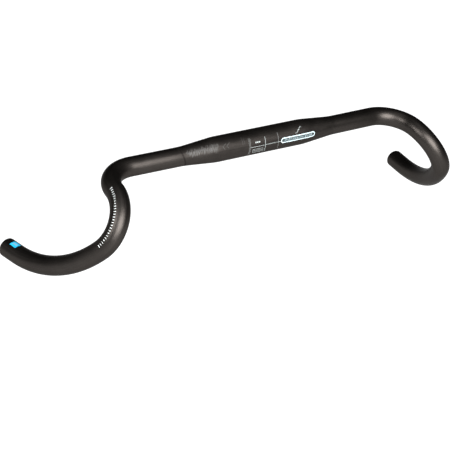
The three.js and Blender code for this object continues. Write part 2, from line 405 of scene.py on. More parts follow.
def drawn_tube_tree():
    """The tube as one closed wall: outside, left rim, bore and right rim, each a grid."""
    works, given, done = new_tree(
        "drawn_tube",
        {
            **BAR_INPUTS,
            "Half length": "Float",
            "Rim round": "Float",
            "Sides": "Int",
            "Rows outside": "Int",
            "Rows in bore": "Int",
            "Rows on rim": "Int",
            "Material": "Material",
        },
    )
    straight = given["Half length"] - given["Rim round"]

    def wall(rows, station_of, inside_of):
        """A grid whose first coordinate, from 0 to 1, gives the station and the depth in the wall."""
        grid = works.node(
            "GeometryNodeMeshGrid",
            sockets={
                "Size X": 1.0,
                "Size Y": 1.0,
                "Vertices X": rows,
                "Vertices Y": given["Sides"] + 1,
            },
        )
        x, y, z = works.axes(works.node("GeometryNodeInputPosition"))
        share = x + 0.5
        stored = works.node(
            "GeometryNodeStoreNamedAttribute",
            {"data_type": "FLOAT", "domain": "POINT"},
            {"Geometry": grid, "Name": "inside", "Value": inside_of(share)},
        )
        flat = works.joined(station_of(share), (y + 0.5) * TURN, 0.0)
        return works.node(
            "GeometryNodeSetPosition", sockets={"Geometry": stored, "Position": flat}
        )

    def rim_depth(share):
        swing = ((share - 0.5) * math.pi).math("SINE")
        return swing.math("SIGN") * abs(swing) ** RIM_SQUARENESS * 0.5 + 0.5

    def rim_reach(share):
        swing = ((share - 0.5) * math.pi).math("COSINE").most(0.0)
        return straight + given["Rim round"] * swing**RIM_SQUARENESS

    rim_rows = given["Rows on rim"]
    walls = [
        wall(given["Rows outside"], lambda u: straight * (u * 2 - 1), lambda u: 0.0),
        wall(rim_rows, rim_reach, rim_depth),
        wall(given["Rows in bore"], lambda u: straight * (1 - u * 2), lambda u: 1.0),
        wall(rim_rows, lambda u: -rim_reach(u), lambda u: 1.0 - rim_depth(u)),
    ]
    whole = works.node("GeometryNodeJoinGeometry", sockets={0: walls})
    bent = on_bar(works, given, whole)
    merged = works.node("GeometryNodeMergeByDistance", sockets={0: bent, "Distance": WIDE_MERGE})
    smooth = works.node("GeometryNodeSetShadeSmooth", sockets={0: merged})
    real = works.node("GeometryNodeRealizeInstances", sockets={0: smooth})
    return done(
        works.node(
            "GeometryNodeSetMaterial", sockets={0: real, "Material": given["Material"]}
        )
    )


def ink_tree():
    """Gives a flat sheet of ink its thickness and carries it onto the bar."""
    works, given, done = new_tree(
        "ink_on_bar", {**BAR_INPUTS, "Gap": "Float", "Thickness": "Float", "Material": "Material"}
    )
    raised = works.node(
        "GeometryNodeSetPosition",
        sockets={"Geometry": given["Geometry"], "Offset": works.joined(z=given["Gap"])},
    )
    top = works.node(
        "GeometryNodeExtrudeMesh",
        {"mode": "FACES"},
        {
            "Mesh": raised,
            "Offset": (0.0, 0.0, 1.0),
            "Offset Scale": given["Thickness"],
            "Individual": False,
        },
    )
    under = works.node("GeometryNodeFlipFaces", sockets={0: raised})
    closed = works.node("GeometryNodeJoinGeometry", sockets={0: [top, under]})
    merged = works.node("GeometryNodeMergeByDistance", sockets={0: closed, "Distance": MERGE})
    bent = on_bar(works, given, merged)
    real = works.node("GeometryNodeRealizeInstances", sockets={0: bent})
    return done(
        works.node(
            "GeometryNodeSetMaterial", sockets={0: real, "Material": given["Material"]}
        )
    )


def row_tree():
    """Repeats a flat mark in a row, with some play in place and size, all of it in flat coordinates."""
    names = ("Start X", "Start Y", "Step X", "Step Y", "Play X", "Play Y")
    names += ("Least length", "Least width", "End scale")
    works, given, done = new_tree(
        "row_of_marks", {**dict.fromkeys(names, "Float"), "Count": "Int", "Seed": "Int"}
    )
    points = works.node(
        "GeometryNodeMeshLine",
        {"mode": "OFFSET"},
        {
            "Count": given["Count"],
            "Start Location": works.joined(given["Start X"], given["Start Y"]),
            "Offset": works.joined(given["Step X"], given["Step Y"]),
        },
    )

    def chance(low, high, extra):
        return works.node(
            "FunctionNodeRandomValue",
            {"data_type": "FLOAT"},
            {2: low, 3: high, "Seed": given["Seed"] + extra},
            out=1,
        )

    index = works.node("GeometryNodeInputIndex")
    last = given["Count"] - 1.0
    at_end = (index.math("LESS_THAN", 0.5) + index.math("GREATER_THAN", last - 0.5)).least(1.0)
    grown = 1.0 + at_end * (given["End scale"] - 1.0)
    scale = works.joined(
        chance(given["Least length"], 1.0, 0) * grown,
        chance(given["Least width"], 1.0, 1) * grown,
        1.0,
    )
    moved = works.node(
        "GeometryNodeSetPosition",
        sockets={
            "Geometry": points,
            "Offset": works.joined(
                chance(-given["Play X"], given["Play X"], 2),
                chance(-given["Play Y"], given["Play Y"], 3),
            ),
        },
    )
    marks = works.node(
        "GeometryNodeInstanceOnPoints",
        sockets={"Points": moved, "Instance": given["Geometry"], "Scale": scale},
    )
    return done(works.node("GeometryNodeRealizeInstances", sockets={0: marks}))


THREAD_FADE = 1 / 24
THREAD_STEEPNESS = 1.5


def thread_tree():
    """A screw thread round the Z axis, from the top down, that fades out near both ends."""
    names = ("Crest radius", "Thread depth", "Pitch", "Start depth", "End depth")
    works, given, done = new_tree(
        "screw_thread", {**dict.fromkeys(names, "Float"), "Rows": "Int", "Sides": "Int"}
    )
    grid = works.node(
        "GeometryNodeMeshGrid",
        sockets={
            "Size X": 1.0,
            "Size Y": 1.0,
            "Vertices X": given["Rows"],
            "Vertices Y": given["Sides"] + 1,
        },
    )
    x, y, z = works.axes(works.node("GeometryNodeInputPosition"))
    share, angle = x + 0.5, (y + 0.5) * TURN
    depth = given["Start depth"] + (given["End depth"] - given["Start depth"]) * share
    phase = depth / given["Pitch"] + angle * (1 / TURN)
    groove = works.sum("PINGPONG", phase, 0.5) * 2
    fade = ((0.5 - abs(share - 0.5)) * (1 / THREAD_FADE)).between(0.0, 1.0)
    flat_crest = (THREAD_STEEPNESS - 1) / 2
    form = (groove * THREAD_STEEPNESS - flat_crest).between(0.0, 1.0)
    cut = given["Thread depth"] * form * fade
    radius = given["Crest radius"] - cut
    place = works.joined(
        radius * angle.math("COSINE"), radius * angle.math("SINE"), -depth
    )
    bent = works.node("GeometryNodeSetPosition", sockets={"Geometry": grid, "Position": place})
    merged = works.node("GeometryNodeMergeByDistance", sockets={0: bent, "Distance": WIDE_MERGE})
    return done(merged)


# ---- Finishes --------------------------------------------------------------------------------


def finish(name, **constant):
    """A new material. Returns it with its works and its shader; constants go on the shader's sockets."""
    material = bpy.data.materials.new(name)
    material.use_nodes = True
    tree = material.node_tree
    tree.nodes.clear()
    works = Works(tree)
    shader = tree.nodes.new("ShaderNodeBsdfPrincipled")
    works.node("ShaderNodeOutputMaterial", sockets={0: Wire(works, shader.outputs[0])})
    for socket, value in constant.items():
        shader.inputs[socket.replace("_", " ")].default_value = value
    return material, works, shader


def noise(works, place, scale, detail, rough, stretch=None):
    """Noise about 0.5. The scale is in features to a metre, and stretch lengthens them along each axis."""
    if stretch:
        place = works.node(
            "ShaderNodeMapping", sockets={"Vector": place, "Scale": tuple(1 / s for s in stretch)}
        )
    return works.node(
        "ShaderNodeTexNoise",
        {"noise_dimensions": "3D"},
        {"Vector": place, "Scale": scale, "Detail": detail, "Roughness": rough},
    )


def mixed(works, share, first, second):
    """A colour between two colours."""
    tones = [(*tone, 1) if isinstance(tone, tuple) else tone for tone in (first, second)]
    return works.node(
        "ShaderNodeMix", {"data_type": "RGBA"}, {0: share, 6: tones[0], 7: tones[1]}, out=2
    )


def bumped(works, height, distance):
    """A normal from a height, with the depth in metres of a height of 1."""
    sockets = {"Height": height, "Distance": distance, "Strength": 1.0}
    return works.node("ShaderNodeBump", sockets=sockets)


def own_place(works, name):
    """The piece's own vector attribute, which holds its unbent or unplaced coordinates."""
    return works.node("ShaderNodeAttribute", {"attribute_name": name}).other("Vector")


ZONE_EDGE_BLUR = 0.4 * MM
RIGHT_EDGE_LINE = 1.6667 * MM
LEFT_EDGE_LINE = 0.625 * MM
LEFT_EDGE_STRENGTH = 0.5


def black_anodised():
    """Bead-blasted, black anodised tube: a dark metal with fine grain and faint drawing lines."""
    material, works, shader = finish(
        "black_anodised_tube", Metallic=1.0, Specular_Tint=(0.5, 0.5, 0.5, 1)
    )
    place = own_place(works, "straight")
    station, ahead, up = works.axes(place)

    cloud = noise(works, place, 38, 3, 0.6)
    grain = noise(works, place, 5200, 2, 0.7)
    fleck = noise(works, place, 1500, 2, 0.55)
    drawn = noise(works, place, 900, 2, 0.6, (60, 1, 1))

    # The printed zone round the clamp ends in a slanted dark line on each taper.
    slant = station + up * ZONE_SLANT
    from_right = slant + ZONE_RIGHT_EDGE
    from_left = ZONE_LEFT_EDGE - slant
    inside_right, inside_left = (
        (edge * (1 / ZONE_EDGE_BLUR)).between(0.0, 1.0) for edge in (from_right, from_left)
    )
    zone = inside_right * inside_left
    right_line = 1.0 - (abs(from_right) * (1 / RIGHT_EDGE_LINE)).between(0.0, 1.0)
    left_line = 1.0 - (abs(from_left) * (1 / LEFT_EDGE_LINE)).between(0.0, 1.0)
    dark = right_line.most(left_line * LEFT_EDGE_STRENGTH)

    tone = 0.55 + (cloud - 0.5) * 0.4 + (drawn - 0.5) * 0.4 + (fleck - 0.5) * 0.6
    share = (tone - zone * 0.08 - dark * 0.45).between(0.0, 1.0)
    colour = mixed(works, share, (0.016, 0.0142, 0.013), (0.062, 0.0553, 0.0507))
    works.feed(shader.inputs["Base Color"], colour)
    rough = 0.42 + (cloud - 0.5) * 0.1 + (drawn - 0.5) * 0.08 + (grain - 0.5) * 0.12
    works.feed(shader.inputs["Roughness"], rough + zone * 0.03 + dark * 0.25)
    relief = grain * 0.75 + fleck * 0.5 + drawn * 0.4
    works.feed(shader.inputs["Normal"], bumped(works, relief, 0.012 * MM))
    return material


def screen_ink(name, light, dark, wear=0.35):
    """Screen-printed ink under matt lacquer: mottled cover with pinholes where the black shows."""
    material, works, shader = finish(name, IOR=1.5)
    place = own_place(works, "straight")
    mottle = noise(works, place, 700, 3, 0.6)
    pin = noise(works, place, 3600, 2, 0.6)
    holes = ((pin - 0.62) * 14).between(0.0, 1.0) * wear
    cover = ((mottle - 0.5) * 1.1 + 0.62).between(0.0, 1.0) * (1.0 - holes)
    works.feed(shader.inputs["Base Color"], mixed(works, cover, dark, light))
    works.feed(shader.inputs["Roughness"], 0.46 + (mottle - 0.5) * 0.2)
    works.feed(shader.inputs["Normal"], bumped(works, pin, 0.01 * MM))
    return material


def moulded(name, light, dark, rough, grain_scale, grain_depth):
    """Moulded nylon or rubber: spark-eroded mould grain, with painted shade that darkens the low places of
    the grain.
    """
    material, works, shader = finish(name, IOR=1.5)
    place = own_place(works, "turned")
    grain = works.node(
        "ShaderNodeTexVoronoi", {"feature": "F1"}, {"Vector": place, "Scale": grain_scale}
    )
    haze = noise(works, place, 420, 3, 0.6)
    fine = noise(works, place, grain_scale * 2.6, 2, 0.6)
    # Painted shade: the grain term darkens the low places of the mould grain; the haze term is random
    # tone.
    share = (haze - 0.5) * 1.2 + grain * 0.35 + 0.3
    works.feed(shader.inputs["Base Color"], mixed(works, share.between(0.0, 1.0), dark, light))
    works.feed(shader.inputs["Roughness"], rough + (haze - 0.5) * 0.16 + (fine - 0.5) * 0.1)
    works.feed(
        shader.inputs["Normal"], bumped(works, grain * 0.7 + fine * 0.5, grain_depth * MM)
    )
    return material


def lathe_metal(name, light, dark, rough, pitch, groove, tint=None):
    """Turned metal: rings from the tool, a little haze, and stains in the low places."""
    material, works, shader = finish(name, Metallic=1.0)
    place = own_place(works, "turned")
    x, y, z = works.axes(place)
    radius = (x * x + y * y) ** 0.5
    haze = noise(works, place, 500, 3, 0.6)
    speck = noise(works, place, 4200, 2, 0.6)
    rings = ((radius + z * 0.7) * (TURN / pitch) + (haze - 0.5) * 2.0).math("SINE")
    share = (0.55 + (haze - 0.5) * 0.9 + rings * 0.08).between(0.0, 1.0)
    colour = mixed(works, share, dark, light)
    if tint:
        colour = mixed(works, ((speck - 0.55) * 4).between(0.0, 0.5), colour, tint)
    works.feed(shader.inputs["Base Color"], colour)
    works.feed(
        shader.inputs["Roughness"], (rough + (haze - 0.5) * 0.22 + rings * 0.03).between(0.1, 0.9)
    )
    works.feed(
        shader.inputs["Normal"], bumped(works, rings * 0.5 + speck * 0.6, groove * MM)
    )
    return material


tube_black = black_anodised()
pale_ink = screen_ink("pale_ink", (0.36, 0.395, 0.385), (0.13, 0.14, 0.14))
faint_ink = screen_ink("faint_ink", (0.15, 0.155, 0.15), (0.03, 0.03, 0.03), 0.8)
scale_ink = screen_ink("scale_ink", (0.82, 0.86, 0.85), (0.5, 0.53, 0.52), 0.1)
badge_ink = screen_ink("badge_rim_ink", (0.48, 0.57, 0.59), (0.28, 0.36, 0.38), 0.15)
badge_fill_ink = screen_ink("badge_fill_ink", (0.045, 0.065, 0.07), (0.02, 0.032, 0.036), 0.5)
tone_ink = screen_ink("tone_ink", (0.042, 0.0395, 0.037), (0.014, 0.0135, 0.0125), 0.7)
cyan_ink = screen_ink("cyan_ink", (0.016, 0.4, 0.66), (0.01, 0.27, 0.5), 0.12)
nylon_black = moulded("black_nylon", (0.022, 0.022, 0.022), (0.007, 0.007, 0.007), 0.55, 2600, 0.02)
rubber_black = moulded("black_rubber", (0.02, 0.019, 0.018), (0.006, 0.006, 0.006), 0.78, 1700, 0.03)
zinc_plate = lathe_metal(
    "zinc_steel", (0.62, 0.63, 0.64), (0.36, 0.37, 0.39), 0.3, 0.22 * MM, 0.006, (0.6, 0.54, 0.4)
)
turned_alloy = lathe_metal(
    "turned_alloy", (0.78, 0.79, 0.8), (0.5, 0.51, 0.53), 0.34, 0.3 * MM, 0.01
)

# ---- Pieces ----------------------------------------------------------------------------------


def place_piece(name, mesh, body, slot, *nodes):
    """A finished piece: it rides on its body and stands for its CAD nodes. The slot argument is not used.
    """
    made = plain_object(name, mesh)
    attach(made, body)
    if nodes:
        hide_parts(*nodes)
    return made


def bar_tube():
    values = {
        **BAR_VALUES,
        "Half length": half_length,
        "Rim round": RIM_ROUND,
        "Sides": 80,
        "Rows outside": 520,
        "Rows in bore": 180,
        "Rows on rim": 15,
        "Material": tube_black,
    }
    mesh = run_tree("drawn_bar_tube", empty_mesh(), drawn_tube_tree(), values)
    place_piece("drawn_bar_tube", mesh, "bar", "black_tube", "bar_tube")


# ---- Flat artwork ----------------------------------------------------------------------------
# Artwork is drawn in millimetres: X is the station and Y the distance round the tube. A place in it
# is mostly given by its station and its turn in degrees, and a ribbon by its path and its width.

CLAMP_MM = CLAMP_RADIUS / MM
TUBE_MM = TUBE_RADIUS / MM
ARC_STEPS = 12
PILL_END_STEPS = 16


def swell_at(x):
    def eased(distance):
        ease = TAPER_EASE / MM
        blended = min(max(distance + ease, 0), 2 * ease)
        return blended**2 / (4 * ease) + max(distance - ease, 0)

    start, end = TAPER_START / MM, TAPER_END / MM
    return 1 - (eased(abs(x) - start) - eased(abs(x) - end)) / (end - start)


def radius_at(x):
    """The outside radius at a station, in millimetres."""
    return (TUBE_RADIUS + (CLAMP_RADIUS - TUBE_RADIUS) * swell_at(x)) / MM


def lifted(x, degrees):
    """A place in the artwork from its station and its turn in degrees."""
    return Vector((x, math.radians(degrees) * radius_at(x)))


class Artwork:
    """Flat ink shapes, each a strip of small cells so that it can follow the tube."""

    def __init__(self):
        self.places = []
        self.faces = []

    def ribbon(self, path, width, closed=False, taper=0.0):
        """A strip along a path. Taper narrows both ends, from 0, none, to 1, to a point."""
        path = self.spaced(path, closed)
        count = len(path)
        cells = max(1, math.ceil(width / INK_CELL))
        first = len(self.places)
        for index, point in enumerate(path):
            before = path[index - 1] if index or closed else path[0]
            after = path[(index + 1) % count] if index < count - 1 or closed else path[-1]
            along = (after - before).normalized()
            side = Vector((-along.y, along.x))
            share = abs(2 * index / (count - 1) - 1)
            broad = width * (1 - taper * share**2)
            for cell in range(cells + 1):
                self.places.append(point + side * (broad * (cell / cells - 0.5)))
        rows = count if closed else count - 1
        for row in range(rows):
            here = first + row * (cells + 1)
            there = first + (row + 1) % count * (cells + 1)
            for cell in range(cells):
                self.faces.append(
                    (here + cell, there + cell, there + cell + 1, here + cell + 1)
                )

    @staticmethod
    def spaced(path, closed):
        """The path with no step longer than an ink cell."""
        corners = [Vector(point) for point in path]
        if closed:
            corners.append(corners[0])
        points = [corners[0]]
        for start, end in zip(corners, corners[1:]):
            steps = max(1, math.ceil((end - start).length / INK_CELL))
            points += [start.lerp(end, step / steps) for step in range(1, steps + 1)]
        return points[:-1] if closed else points

    def mesh(self, unwrap=True):
        """The artwork as a mesh: in stations and turns, or as drawn for a mark that will be repeated."""
        mesh = bpy.data.meshes.new("artwork")
        if unwrap:
            flat = [(p.x * MM, p.y / radius_at(p.x), 0) for p in self.places]
        else:
            flat = [(p.x * MM, p.y * MM, 0) for p in self.places]
        mesh.from_pydata(flat, [], self.faces)
        return mesh


def mark_of(path, width, taper=0.0):
    """One mark about the origin, to be repeated."""
    art = Artwork()
    art.ribbon(path, width, taper=taper)
    return art.mesh(unwrap=False)


def row(mark, count, start, step, radius, play=(0, 0), least=(1, 1), end_scale=1.0, seed=1):
    """A mark repeated in a row. The mark's own height is turned into an angle at this radius."""
    for vertex in mark.vertices:
        vertex.co.y /= radius * MM
    values = {
        "Count": count,
        "Start X": start[0] * MM,
        "Start Y": start[1] / radius,
        "Step X": step[0] * MM,
        "Step Y": step[1] / radius,
        "Play X": play[0] * MM,
        "Play Y": play[1] / radius,
        "Least length": least[0],
        "Least width": least[1],
        "End scale": end_scale,
        "Seed": seed,
    }
    return run_tree("row", mark, marks_in_a_row, values)


def print_on_bar(name, meshes, ink, slot, *nodes, layer=0):
    """Lays flat artwork on the bar as one printed piece. Layer 1 is printed over layer 0."""
    whole = bmesh.new()
    for mesh in meshes:
        whole.from_mesh(mesh)
    flat = empty_mesh()
    whole.to_mesh(flat)
    whole.free()
    gap = INK_GAP + layer * INK_LAYER
    values = {**BAR_VALUES, "Gap": gap, "Thickness": INK_THICKNESS, "Material": ink}
    made = run_tree(name, flat, ink_layer, values)
    return place_piece(name, made, "bar", slot, *nodes)


marks_in_a_row = row_tree()
ink_layer = ink_tree()


def arc(x, low, high):
    """A line round the tube between two turns in degrees."""
    return [lifted(x, low + (high - low) * step / ARC_STEPS) for step in range(ARC_STEPS + 1)]


def level(low, high, degrees):
    """A line along the tube at a turn in degrees."""
    return [lifted(low, degrees), lifted(high, degrees)]


def clamp_guide():
    """Clamp guide lines: a solid centre arc, dotted side arcs, a level line and index blocks."""
    art = Artwork()
    art.ribbon(arc(0.8, -26, 46), 0.5)
    art.ribbon(level(-20.6, 0.4, 9), 0.42)
    art.ribbon(level(1.2, 24, 10), 0.42)
    for low, high in ((-14.0, -12.6), (-12.0, -9.8), (-9.1, -6.8)):
        art.ribbon(level(low, high, 28), 1.7)
    box = [lifted(-17.6, -3), lifted(-2.6, -3), lifted(-1.6, -20.5), lifted(-16.6, -20.5)]
    art.ribbon(box, 0.36, closed=True)
    print_on_bar("clamp_guide_lines", [art.mesh()], pale_ink, "pale_ink", "clamp_guide_print")

    faint = Artwork()
    faint.ribbon(arc(20.1, 12, 52), 0.55)
    faint.ribbon(arc(-21.9, -26, 52), 0.3)
    for low, high in ((-15.6, -12.9), (-12.1, -9.8), (-9.0, -6.4), (-5.6, -3.6)):
        faint.ribbon(level(low, high, -11.5), 1.7)
    dot = mark_of([(-0.4, 0), (0.4, 0)], 0.6)
    columns = [
        row(
            dot.copy(), count, (x, math.radians(low) * CLAMP_MM), (0, step), CLAMP_MM,
            play=(play, 0), seed=seed,
        )
        for x, low, count, step, play, seed in (
            (-22.9, -26, 18, 1.25, 0.15, 3),
            (-21.0, -26, 16, 1.4, 0.5, 4),
            (20.2, -24, 9, 1.15, 0.1, 5),
        )
    ]
    print_on_bar("clamp_guide_dots", [faint.mesh(), *columns], faint_ink, "pale_ink")


def pill(x0, x1, middle, half_width):
    """The outline of a pill that lies along the clamp section, with its middle at a turn in degrees."""
    centre = math.radians(middle) * CLAMP_MM
    points = []
    for end, x in ((0, x1 - half_width), (1, x0 + half_width)):
        for step in range(PILL_END_STEPS + 1):
            angle = -math.pi / 2 + math.pi * (end + step / PILL_END_STEPS)
            points.append(
                Vector((x + half_width * math.cos(angle), centre + half_width * math.sin(angle)))
            )
    return points


BADGE_START = 24.8
BADGE_END = 75.8
BADGE_LIFT = 11.5
BADGE_HALF = 2.8
BADGE_RIM = 1.3
BADGE_PANEL = 4.4


def front_badge():
    """A pill-shaped badge: a thick pale rim round a dim panel with plain slanted dashes."""
    rim = Artwork()
    rim.ribbon(pill(BADGE_START, BADGE_END, BADGE_LIFT, BADGE_HALF), BADGE_RIM, closed=True)
    radius = radius_at((BADGE_START + BADGE_END) / 2)
    middle = math.radians(BADGE_LIFT) * radius
    dash = mark_of([(-0.55, -1.3), (0.55, 1.3)], 0.48)
    dashes = [
        row(
            dash.copy(), count, (start, middle), (pitch, 0), radius,
            play=(0.4, 0.5), least=(0.4, 0.4), seed=seed,
        )
        for start, count, pitch, seed in ((31, 4, 2.6, 11), (42, 8, 2.2, 12), (62, 4, 2.8, 13))
    ]
    print_on_bar(
        "front_badge_rim", [rim.mesh(), *dashes], badge_ink, "pale_ink", "front_badge", layer=1
    )
    panel = Artwork()
    inner = level(BADGE_START + BADGE_HALF, BADGE_END - BADGE_HALF, BADGE_LIFT)
    panel.ribbon(inner, BADGE_PANEL)
    print_on_bar("front_badge_panel", [panel.mesh()], badge_fill_ink, "pale_ink")


def tilt_mark():
    """A thin slanted mark over the badge, hooked at both ends."""
    art = Artwork()
    path = [(46.6, 34.5), (47.4, 32.8), (48.6, 34.2), (50.2, 39.5), (51.8, 45.6)]
    path += [(53.4, 52.0), (54.6, 56.6), (56.0, 57.8), (56.8, 55.6)]
    art.ribbon([lifted(x, turn) for x, turn in path], 0.5)
    art.ribbon([lifted(50.9, 47.5), lifted(53.6, 46.2)], 0.45)
    print_on_bar("tilt_mark_stroke", [art.mesh()], pale_ink, "pale_ink", "tilt_mark")


def tone_graphic():
    """Tone on tone brush strokes on the right taper, with plain chevrons beside them."""
    brush = mark_of([(-0.6, -3.2), (0.6, 3.2)], 0.75, taper=0.7)
    radius = radius_at(-88)
    strokes = [
        row(
            brush.copy(), count, (start, math.radians(lift) * radius), (pitch, 0.0), radius,
            play=(0.7, play), least=(0.5, 0.35), seed=seed,
        )
        for count, start, lift, pitch, play, seed in (
            (36, -109, 52, 1.2, 1.8, 21),
            (38, -109, 45, 1.15, 1.6, 22),
            (34, -107, 38, 1.2, 1.6, 23),
            (22, -103, 31, 1.6, 1.3, 24),
        )
    ]
    art = Artwork()
    for x, top, tail in ((-60.5, 51, 24), (-55.0, 53, 28)):
        art.ribbon([lifted(x + 5.4, top), lifted(x, 39), lifted(x + 2.4, tail)], 0.6)
    art.ribbon(arc(-32, 27, 64), 0.4)
    art.ribbon(arc(-29.5, 30, 60), 0.3)
    print_on_bar("tone_brush_strokes", [*strokes, art.mesh()], tone_ink, "tone_ink", "tone_graphic")


def facing_turn(station, facing_at):
    """The turn that faces a direction, got from the heading, at a station of the left half."""
    walked = 0.0
    for (place, front), (after, _) in zip(half.stops, half.stops[1:]):
        walked += (after - place).length
        if walked >= station * MM:
            heading = (after - place).normalized()
            facing = facing_at(heading)
            return math.atan2(facing.dot(front.cross(heading)), facing.dot(front))
    raise ValueError("the station is past the bar's end")


SCALE_START = 246.5
SCALE_END = 317
SCALE_TICKS = 25
SCALE_SWING = math.radians(71)
TICK_BREADTH = 0.58
TICK_LENGTH = 2.9


def lever_scale(side, sign):
    """A row of ticks along the outside of a hook, bolder at both ends."""
    tick = mark_of([(-TICK_BREADTH / 2, 0), (TICK_BREADTH / 2, 0)], TICK_LENGTH)
    turn = facing_turn(
        (SCALE_START + SCALE_END) / 2,
        lambda heading: heading.cross(hook_axis) * math.cos(SCALE_SWING)
        + hook_axis * math.sin(SCALE_SWING),
    )
    pitch = (SCALE_END - SCALE_START) / (SCALE_TICKS - 1)
    ticks = row(
        tick, SCALE_TICKS, (sign * SCALE_START, turn * TUBE_MM), (sign * pitch, 0), TUBE_MM,
        least=(0.9, 0.85), end_scale=1.2, seed=31,
    )
    name = f"{side}_lever_scale"
    print_on_bar(f"{name}_ticks", [ticks], scale_ink, "pale_ink", name)


END_MARK_LENGTH = 12
END_MARK_WIDTH = 9
END_MARK_INSET = 11
END_MARK_SWING = math.radians(88)
END_BAR_PITCH = 2.6


def end_mark():
    """A bright patch with three plain bars, on top of the right bar end."""
    upward = down.cross(half.heading).cross(half.heading).normalized()
    sideways = down.cross(half.heading).normalized()
    facing = sideways * math.cos(END_MARK_SWING) + upward * math.sin(END_MARK_SWING)
    lift = facing_turn(half_length / MM - END_MARK_INSET, lambda heading: facing) * TUBE_MM
    middle = END_MARK_INSET + END_MARK_LENGTH / 2 - half_length / MM
    reach = END_MARK_LENGTH / 2
    patch = Artwork()
    patch.ribbon([(middle - reach, lift), (middle + reach, lift)], END_MARK_WIDTH)
    name = "right_end_mark"
    print_on_bar(f"{name}_patch", [patch.mesh()], cyan_ink, "cyan_ink", name)
    bar = mark_of([(-1.0, -1.3), (1.0, 1.3)], 1.1)
    first = (middle - END_BAR_PITCH, lift)
    bars = row(bar, 3, first, (END_BAR_PITCH, 0), TUBE_MM, seed=41)
    print_on_bar(f"{name}_bars", [bars], pale_ink, "pale_ink", layer=1)


# ---- End plugs -------------------------------------------------------------------------------
# Plug sizes are in millimetres. A depth runs down into the tube from the bar end, and a profile is a
# row of (radius, depth) pairs.

SHARP_EDGE = math.radians(35)

CAP_FACE = 0.02
CAP_RADIUS = 9.7
CAP_THICKNESS = 4
CAP_BORE = 2.9
CAP_RECESS_RADIUS = 4.9
CAP_RECESS_DEPTH = 3.4
CAP_CONE_END = 9
CAP_GROOVE_DEPTH = 0.3
CAP_EDGE_ROUND = 0.35
CAP_SIDES = 240
FLUTES = 40
FLUTE_DEPTH = 0.16
FLUTED_FROM = 9.0

SLEEVE_RADIUS = 9.6
SLEEVE_START = 4.3
SLEEVE_END = 21
SLEEVE_WAIST = 6.9
SLEEVE_EDGE_ROUND = 0.22
SLEEVE_SIDES = 96
GROOVES = 4
GROOVE_START = 8.2
GROOVE_PITCH = 3
GROOVE_FLOOR = 9.15
SLOT_HALF = 0.8
SLOT_START = 9.3
PAST_SLEEVE = 14
UNDER_SLEEVE = 30

WEDGE_START = 14.5
WEDGE_END = 25
WEDGE_RADIUS = 8.6
WEDGE_BORE = 2.8
WEDGE_EDGE_ROUND = 0.18
WEDGE_SIDES = 96

SCREW_SIDES = 48
SCREW_RADIUS = 2.5
SCREW_END = 26
SCREW_HEAD_RADIUS = 4.5
SCREW_HEAD_TOP = 0.5
SCREW_HEAD_END = 3.1
SCREW_EDGE_ROUND = 0.22
SOCKET_RADIUS = 1.75
SOCKET_END = 2.5
THREAD_START = 3.6
THREAD_END = 25.4
THREAD_PITCH = 0.8
THREAD_DEPTH = 0.45


def rounded(profile, radius, steps=4):
    """A closed profile with its corners rounded off, apart from those on the axis."""
    points = [Vector(point) for point in profile]
    made = []
    for index, corner in enumerate(points):
        if corner.x == 0:
            made.append(corner)
            continue
        before = points[index - 1] - corner
        after = points[(index + 1) % len(points)] - corner
        reach = min(radius, before.length * 0.45, after.length * 0.45)
        start = corner + before.normalized() * reach
        end = corner + after.normalized() * reach
        for step in range(steps + 1):
            share = step / steps
            made.append(start.lerp(corner, share).lerp(corner.lerp(end, share), share))
    return made


def spin(work, profile, sides, closed=False, flutes=None):
    """Adds a profile turned about Z to a bmesh. Flutes gives how far a place is sunk."""
    rings = []
    for radius, depth in profile:
        ring = []
        for side in range(sides):
            angle = TURN * side / sides
            reach = radius - (flutes(radius, depth, angle) if flutes else 0)
            place = Vector((reach * math.cos(angle), reach * math.sin(angle), -depth)) * MM
            ring.append(work.verts.new(place))
        rings.append(ring)
    if closed:
        rings.append(rings[0])
    for here, there in zip(rings, rings[1:]):
        for side in range(sides):
            after = (side + 1) % sides
            work.faces.new((here[side], there[side], there[after], here[after]))


def kept_mesh(work):
    """A bmesh as a mesh that is smooth except at its sharp edges."""
    for face in work.faces:
        face.smooth = True
    for edge in work.edges:
        if len(edge.link_faces) == 2:
            edge.smooth = edge.calc_face_angle(0) < SHARP_EDGE
    mesh = bpy.data.meshes.new("turned")
    work.to_mesh(mesh)
    work.free()
    return mesh


def closed_mesh(work, merge_within):
    """A bmesh as a mesh, with its seams and poles merged and its faces turned outwards."""
    bmesh.ops.remove_doubles(work, verts=work.verts, dist=merge_within)
    bmesh.ops.recalc_face_normals(work, faces=work.faces)
    return kept_mesh(work)


def turned_mesh(profile, sides, flutes=None):
    """A solid turned from a closed profile."""
    work = bmesh.new()
    spin(work, profile, sides, closed=True, flutes=flutes)
    return closed_mesh(work, MERGE)


def cut_away(mesh, cutters):
    """The mesh with closed cutter meshes taken out of it."""
    body = plain_object("body", mesh)
    tools = [plain_object("cutter", cutter) for cutter in cutters]
    for tool in tools:
        modifier = body.modifiers.new("cut", "BOOLEAN")
        modifier.operation = "DIFFERENCE"
        modifier.solver = "EXACT"
        modifier.object = tool
    graph = bpy.context.evaluated_depsgraph_get()
    graph.update()
    made = bpy.data.meshes.new_from_object(body.evaluated_get(graph), depsgraph=graph)
    for thing in [body, *tools]:
        bpy.data.objects.remove(thing)
    work = bmesh.new()
    work.from_mesh(made)
    bmesh.ops.remove_doubles(work, verts=work.verts, dist=MERGE)
    return kept_mesh(work)


def block(low, high):
    """A closed box between two corners."""
    work = bmesh.new()
    bmesh.ops.create_cube(work, size=1)
    for vertex in work.verts:
        vertex.co = Vector(
            (least + (most - least) * (share + 0.5)) * MM
            for least, most, share in zip(low, high, vertex.co)
        )
    return kept_mesh(work)


def prism(radius, sides, top, bottom):
    """A closed prism about Z between two depths."""
    return turned_mesh([(0, top), (radius, top), (radius, bottom), (0, bottom)], sides)


